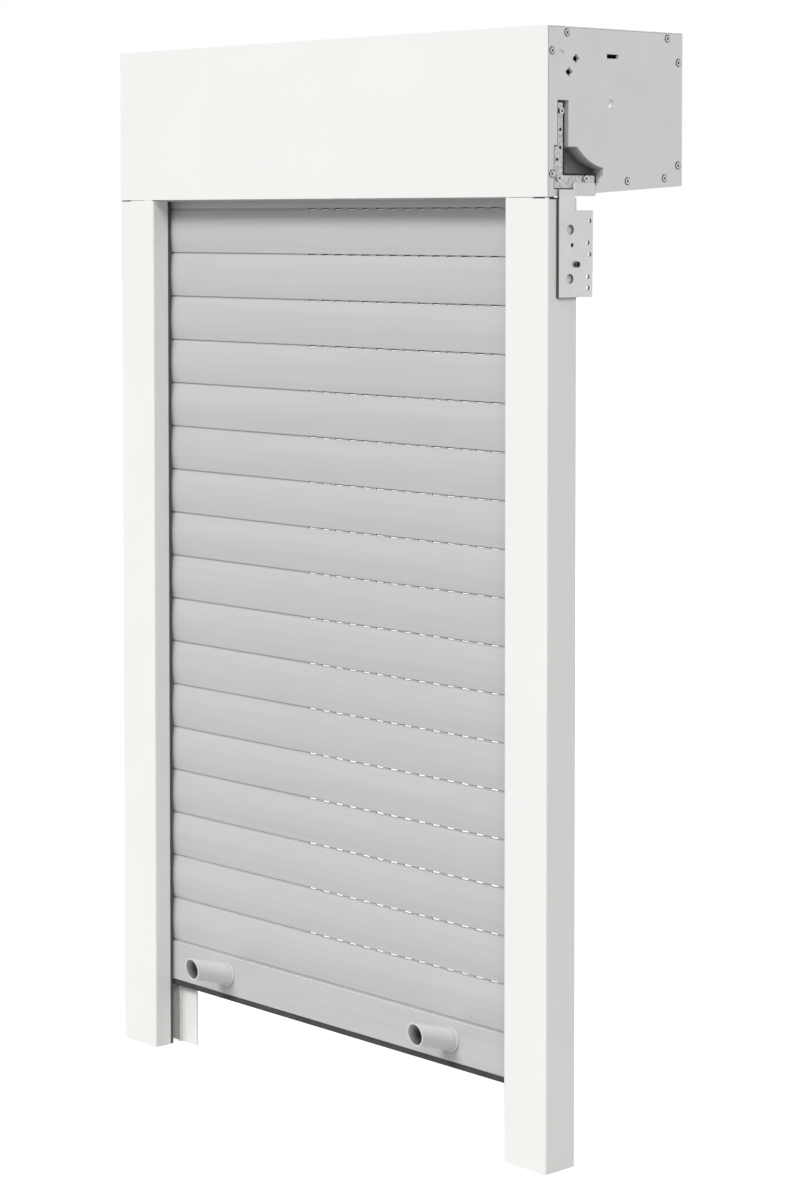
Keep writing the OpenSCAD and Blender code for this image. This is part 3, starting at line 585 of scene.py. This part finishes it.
def strap_path():
    """The middle line of a strap in (Y, Z), each point with its normal."""
    to_axis = TUBE_AXIS - STRAP_FOOT
    run = math.sqrt(to_axis.length_squared - STRAP_RADIUS ** 2)
    slope = math.atan2(to_axis.y, to_axis.x) + math.asin(STRAP_RADIUS / to_axis.length)
    along = Vector((math.cos(slope), math.sin(slope)))
    away = Vector((-along.y, along.x))
    path = []
    for k in range(STRAP_RUN_STEPS):
        path.append((STRAP_FOOT + along * run * k / STRAP_RUN_STEPS + away * STRAP_T / 2, away))
    for k in range(STRAP_WRAP_STEPS + 1):
        turn = slope + math.pi / 2 - STRAP_WRAP * k / STRAP_WRAP_STEPS
        out = Vector((math.cos(turn), math.sin(turn)))
        path.append((TUBE_AXIS + out * (STRAP_RADIUS + STRAP_T / 2), out))
    return path


def add_straps():
    """Three straps whose section is a flat strip with rounded edges."""
    half_w, half_t = STRAP_W / 2, STRAP_T / 2
    section = [(-half_w, 0), (-half_w + half_t, half_t), (half_w - half_t, half_t),
               (half_w, 0), (half_w - half_t, -half_t), (-half_w + half_t, -half_t)]
    count = len(section)
    path = strap_path()
    points, faces = [], []
    for x in STRAP_X:
        base = len(points)
        last = base + (len(path) - 1) * count
        for at, out in path:
            points += [(x + u, at.x + out.x * v, at.y + out.y * v) for u, v in section]
        for row in range(base, last, count):
            faces += band(row, row + count, count)
        faces += [loop_face(base, count)[::-1], loop_face(last, count)]
    straps = new_piece("strap_set", points, faces, strap_steel)
    smooth(straps)
    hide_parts("hanger_straps")
    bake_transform(straps)


def lining_outline():
    """The pocket's outline, a little inside its walls: straight sides, then the round cheek."""
    low, top = POCKET_LOW + LINING_INSET, POCKET_TOP - LINING_INSET
    front, back = POCKET_FRONT + LINING_INSET, POCKET_BACK - LINING_INSET
    reach = CHEEK_R + LINING_INSET
    first = math.asin((back - CHEEK_AT.x) / reach)
    last = -math.acos((CHEEK_AT.y - top) / reach)
    outline = [Vector((front, low)), Vector((POCKET_CHAMFER.x - LINING_INSET, low)),
               Vector((back, POCKET_CHAMFER.y + LINING_INSET))]
    for k in range(CHEEK_STEPS + 1):
        turn = first + (last - first) * k / CHEEK_STEPS
        outline.append(CHEEK_AT + Vector((math.sin(turn), -math.cos(turn))) * reach)
    return [*outline, Vector((front, top))]


def add_lining(name, side):
    """An open cup with the pocket's outline."""
    outline = lining_outline()
    count = len(outline)
    points = [at for depth in LINING_DEPTHS for at in on_plate(side, -depth, outline)]
    faces = [*band(0, count, count), loop_face(count, count)]
    lining = new_piece(name, points, faces, lining_plastic)
    wall = lining.modifiers.new("wall", "SOLIDIFY")
    wall.thickness = LINING_T * MM
    wall.offset = 0
    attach(lining, "frame")


def add_nubs():
    """Small domes that catch the light in front of the dimple's shaded wall, in a paler plastic
    that paints a highlight.
    """
    foot, top = NUB_HEIGHTS
    points, faces = [], []
    for side in (-1, 1):
        base = len(points)
        last = base + (NUB_ROWS - 1) * NUB_SIDES
        for k in range(NUB_ROWS):
            turn = math.pi / 2 * k / NUB_ROWS
            outline = circle(NUB_AT, NUB_R * math.cos(turn), NUB_SIDES)
            points += on_plate(side, foot + (top - foot) * math.sin(turn), outline)
        for row in range(base, last, NUB_SIDES):
            faces += [face[::side] for face in band(row, row + NUB_SIDES, NUB_SIDES)]
        faces += [loop_face(base, NUB_SIDES)[::-side], loop_face(last, NUB_SIDES)[::side]]
    nubs = new_piece("moulding_nubs", points, faces, nub_highlight_plastic)
    smooth(nubs)
    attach(nubs, "frame")


def add_shadow_strips():
    """The dark strips of both sides, short dark lines that paint the shadow in the seams."""
    points, faces = [], []
    for side in (-1, 1):
        for across, deep, high in SHADOW_STRIPS:
            base = len(points)
            points += [(side * x, y, z) for x in across for y in deep for z in high]
            faces += [tuple(base + j for j in face)[::side] for face in BOX_FACES]
    seam_strips = new_piece("seam_shadow_strips", points, faces, seal_rubber)
    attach(seam_strips, "frame")


def grown(outline, width):
    """A closed outline of level and upright steps, moved outwards."""
    corners = [Vector(at) for at in outline]
    moved = []
    for before, at, after in zip(corners[-1:] + corners[:-1], corners, corners[1:] + corners[:1]):
        runs = (at - before, after - at)
        out = sum((Vector((run.y, -run.x)).normalized() for run in runs), Vector((0, 0)))
        moved.append(at + out * width)
    return moved


def add_ring(points, faces, side, outlines, depths):
    """Adds a closed band between two outlines and two depths below the end plate's face."""
    base, count = len(points), len(outlines[0])
    for depth in depths:
        for outline in outlines:
            points += on_plate(side, -depth, outline)
    loops = [base, base + count, base + 3 * count, base + 2 * count]
    for first, second in zip(loops, loops[1:] + loops[:1]):
        faces += [face[::-side] for face in band(first, second, count)]


def add_shade_rings(name, side):
    """Dark rings of one end plate: painted shadow round its bracket and painted shade under its
    edge screws.
    """
    points, faces = [], []
    add_ring(points, faces, side, [grown(BRACKET, gap) for gap in SHADE_RING_GAPS], SHADE_RING_DEPTHS)
    for at in EDGE_SCREWS:
        screw_ring = [circle(at, radius, SCREW_RING_SIDES) for radius in SCREW_RING_RADII]
        add_ring(points, faces, side, screw_ring, SCREW_RING_DEPTHS)
    shade_rings = new_piece(name, points, faces, seal_rubber)
    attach(shade_rings, "frame")


def add_camera():
    """The camera of the photograph."""
    data = bpy.data.cameras.new("camera")
    data.sensor_width = SENSOR_MM
    data.lens = FOCAL_PX * SENSOR_MM / PHOTO_H
    data.shift_y = (PRINCIPAL_ROW - PHOTO_H / 2) / PHOTO_H
    camera = bpy.data.objects.new("camera", data)
    camera.location = CAMERA_AT
    camera.rotation_euler = (math.pi / 2 - CAMERA_PITCH, 0, CAMERA_YAW)
    bpy.context.collection.objects.link(camera)
    bpy.context.scene.camera = camera


def seen_directly(tree):
    """1 for rays that show the background itself: to the camera, in gloss or through glass."""
    path = tree.nodes.new("ShaderNodeLightPath")
    total = path.outputs["Is Camera Ray"]
    for name in ("Is Glossy Ray", "Is Transmission Ray"):
        total = calculate(tree, "MAXIMUM", total, path.outputs[name])
    return total


def add_world():
    """White where it is seen, and an even ambient light otherwise."""
    world = bpy.data.worlds.new("studio")
    world.use_nodes = True
    tree = world.node_tree
    light = tree.nodes["Background"]
    light.inputs["Color"].default_value = PURE_WHITE
    light.inputs["Strength"].default_value = AMBIENT
    white = tree.nodes.new("ShaderNodeBackground")
    white.inputs["Color"].default_value = PURE_WHITE
    white.inputs["Strength"].default_value = BACKDROP
    mixed = tree.nodes.new("ShaderNodeMixShader")
    tree.links.new(seen_directly(tree), mixed.inputs["Fac"])
    tree.links.new(light.outputs["Background"], mixed.inputs[1])
    tree.links.new(white.outputs["Background"], mixed.inputs[2])
    tree.links.new(mixed.outputs["Shader"], tree.nodes["World Output"].inputs["Surface"])
    bpy.context.scene.world = world


def add_floor():
    """A pale floor that shows white where it is lit, and keeps the part's shadow."""
    half, low = FLOOR_HALF_M, cad_box[0].z
    corners = [(-half, -half, low), (half, -half, low), (half, half, low), (-half, half, low)]
    mesh = bpy.data.meshes.new("floor")
    mesh.from_pydata(corners, [], [(0, 1, 2, 3)])
    floor = bpy.data.objects.new("floor", mesh)
    bpy.context.collection.objects.link(floor)
    made, tree, shader = new_material("floor", roughness=1.0)
    shader.inputs["Base Color"].default_value = FLOOR_GREY
    shader.inputs["Specular IOR Level"].default_value = 0.0
    shader.inputs["Emission Color"].default_value = PURE_WHITE
    glow = calculate(tree, "MULTIPLY", seen_directly(tree), FLOOR_GLOW)
    tree.links.new(glow, shader.inputs["Emission Strength"])
    mesh.materials.append(made)


def add_lamp(name, azimuth, height, strength, width):
    """A wide soft light, even over the whole height."""
    data = bpy.data.lights.new(name, "SUN")
    data.energy = strength
    data.angle = width
    lamp = bpy.data.objects.new(name, data)
    level = math.cos(height)
    toward = Vector((math.sin(azimuth) * level, -math.cos(azimuth) * level, math.sin(height)))
    lamp.rotation_euler = toward.to_track_quat("Z", "Y").to_euler()
    bpy.context.collection.objects.link(lamp)


# The part, then the studio
dress_frame()
add_straps()
add_lining("pocket_lining_right", 1)
add_lining("pocket_lining_left", -1)
add_nubs()
add_shadow_strips()
add_shade_rings("end_shade_rings_right", 1)
add_shade_rings("end_shade_rings_left", -1)
add_camera()
add_world()
add_floor()
for lamp_name, lamp in LAMPS.items():
    add_lamp(lamp_name, *lamp)

bpy.context.scene.view_settings.view_transform = "Standard"
